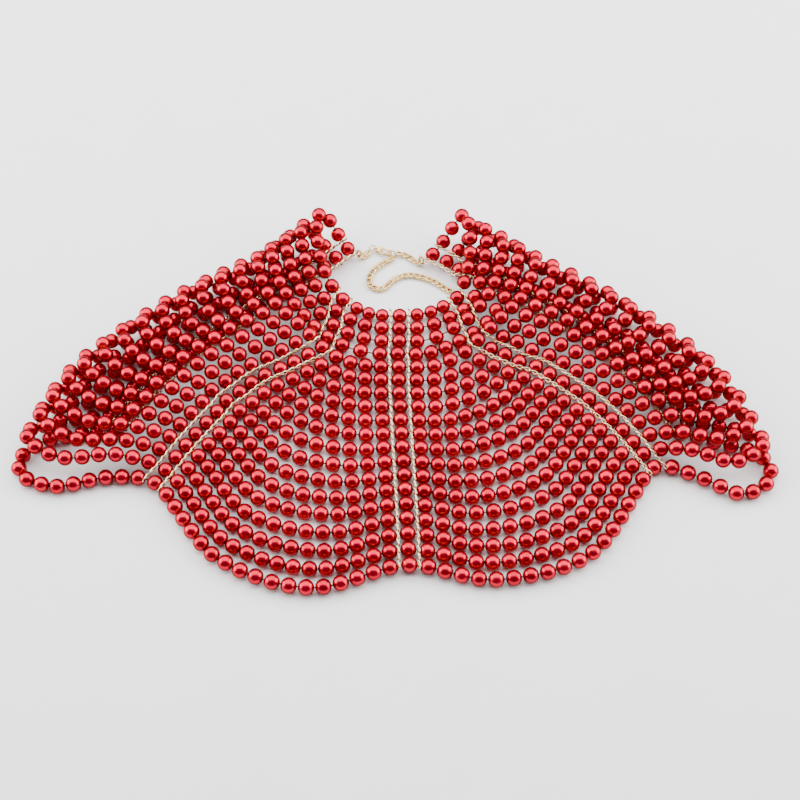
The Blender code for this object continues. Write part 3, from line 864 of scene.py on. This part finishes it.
def pearl_finish():
    """Deep red imitation pearl: a mostly metallic red, with painted shade darkening it towards the
    rim, under a thin lacquer.
    """
    finish, nodes, links, shader = finish_nodes("pearl_red")
    tone = ramp(nodes, links, attribute(nodes, "tone"), PEARL_TONES)
    cloud = noise_ramp(nodes, links, noise(nodes, links, PEARL_CLOUD_NOISE), *PEARL_CLOUD)
    body = blend_colours(nodes, links, 1.0, tone, cloud, "MULTIPLY")
    # Painted shade: the colour is darkened towards the rim by the facing angle to the camera
    edge = nodes.new("ShaderNodeLayerWeight")
    edge.inputs["Blend"].default_value = PEARL_RIM_SHADE_BLEND
    colour = blend_colours(nodes, links, edge.outputs["Facing"], body, PEARL_RIM_PAINTED_SHADE)
    links.new(colour, shader.inputs["Base Color"])
    rough = grey_ramp(nodes, links, noise(nodes, links, PEARL_ROUGH_NOISE), *PEARL_ROUGHNESS)
    links.new(rough, shader.inputs["Roughness"])
    grain = noise(nodes, links, PEARL_BUMP_NOISE)
    links.new(bump(nodes, links, grain, *PEARL_BUMP), shader.inputs["Normal"])
    for name, value in PEARL_VALUES:
        shader.inputs[name].default_value = value
    return finish


def cord_finish():
    """Red nylon cord, faintly ribbed."""
    finish, nodes, links, shader = finish_nodes("cord_red")
    fibre = noise(nodes, links, CORD_NOISE)
    links.new(noise_ramp(nodes, links, fibre, *CORD_COLOURS), shader.inputs["Base Color"])
    links.new(bump(nodes, links, fibre, *CORD_BUMP), shader.inputs["Normal"])
    shader.inputs["Roughness"].default_value = CORD_ROUGHNESS
    return finish


def gold_finish(name, light, dark, roughness):
    """Pale gold plating with faint rubbing marks."""
    finish, nodes, links, shader = finish_nodes(name)
    stain = noise(nodes, links, GOLD_STAIN_NOISE)
    colour = ramp(nodes, links, stain, ((NOISE_LOW, dark), (GOLD_STAIN_END, light)))
    links.new(colour, shader.inputs["Base Color"])
    rough = grey_ramp(nodes, links, noise(nodes, links, GOLD_ROUGH_NOISE),
                      *(roughness * share for share in GOLD_ROUGH_SHARES))
    links.new(rough, shader.inputs["Roughness"])
    rubbed = noise(nodes, links, GOLD_BUMP_NOISE, GOLD_BUMP_DETAIL)
    links.new(bump(nodes, links, rubbed, *GOLD_BUMP), shader.inputs["Normal"])
    shader.inputs["Metallic"].default_value = 1.0
    return finish


def floor_finish():
    """Matt near-white paper."""
    finish, nodes, links, shader = finish_nodes("floor_white")
    tone = grey_ramp(nodes, links, noise(nodes, links, FLOOR_NOISE), *FLOOR_GREYS)
    links.new(tone, shader.inputs["Base Color"])
    shader.inputs["Roughness"].default_value = FLOOR_ROUGHNESS
    return finish


def area_light(name, place, target, width, height, power):
    """A rectangular soft white light aimed at a point."""
    light = bpy.data.lights.new(name, "AREA")
    light.shape = "RECTANGLE"
    light.size = width
    light.size_y = height
    light.energy = power
    item = bpy.data.objects.new(name, light)
    item.location = place
    item.rotation_euler = (Vector(target) - Vector(place)).to_track_quat("-Z", "Y").to_euler()
    bpy.context.scene.collection.objects.link(item)


def stage():
    """Floor, lights and camera."""
    build = bmesh.new()
    bmesh.ops.create_grid(build, x_segments=1, y_segments=1, size=FLOOR_SIZE / 2)
    floor = mesh_object("floor", build, floor_finish())
    world = bpy.data.worlds.new("studio")
    world.use_nodes = True
    background = world.node_tree.nodes["Background"]
    background.inputs["Color"].default_value = WHITE
    background.inputs["Strength"].default_value = WORLD_STRENGTH
    bpy.context.scene.world = world
    for name, place, target, width, height, power in LIGHTS:
        area_light(name, place, target, width, height, power)
    camera = bpy.data.cameras.new("camera")
    camera.lens = CAMERA_LENS
    camera.sensor_width = SENSOR
    item = bpy.data.objects.new("camera", camera)
    middle = Vector(placed((0, 0, 0)))
    back = Vector((0, -math.cos(CAMERA_ELEVATION), math.sin(CAMERA_ELEVATION)))
    item.location = middle + back * CAMERA_DISTANCE
    item.rotation_euler = (-back).to_track_quat("-Z", "Y").to_euler()
    bpy.context.scene.collection.objects.link(item)
    bpy.context.scene.camera = item


def build_strings():
    """Make every string, and return the lines they follow."""
    firsts = [string_route(string) for string in range(1, STRINGS + 1)]
    eased = ease_apart([route for route, _ in firsts])
    lines = [StringLine(points, marks) for points, (_, marks) in zip(eased, firsts)]
    for number, line in enumerate(lines, 1):
        string_piece(number, line)
    return lines


def build_seam_chains(lines):
    """Make every seam chain, and return their points by seam and edge."""
    paths = {}
    for seam in SEAMS:
        for side, edge in ((-1, "a"), (1, "b")):
            points, ups = seam_path(lines, seam, side)
            paths[seam, edge] = points
            chain_piece(f"links_{seam}_{edge}", f"{seam}_chain_{edge}", points, ups,
                        SEAM_LINK, SEAM_LINK_SIZES[0], chain_gold)
    return paths


def build_closure(paths):
    """Make the chains at the neck, from the seam chains' ends, and the clasp."""
    left = paths["left_back_seam", "a"][:2]
    right = paths["right_back_seam", "b"][:2]
    for name, node, route, seam_end, flat_after in (
            ("links_closure", "closure_chain", CLOSURE_ROUTE, left, FLAT_AFTER),
            ("links_extension", "extension_chain", EXTENSION_ROUTE, right, FLAT_AFTER),
            ("links_tail", "extension_tail", TAIL_ROUTE, None, TAIL_FLAT_AFTER)):
        chain_piece(name, node, *flat_route(route, seam_end), CLOSURE_LINK,
                    CLOSURE_LINK_SIZES[0], clasp_gold, flat_after)
    clasp(clasp_gold)


pearl_red = pearl_finish()
cord_red = cord_finish()
chain_gold = gold_finish("chain_gold", *CHAIN_GOLD)
clasp_gold = gold_finish("clasp_gold", *CLASP_GOLD)

build_closure(build_seam_chains(build_strings()))
stage()
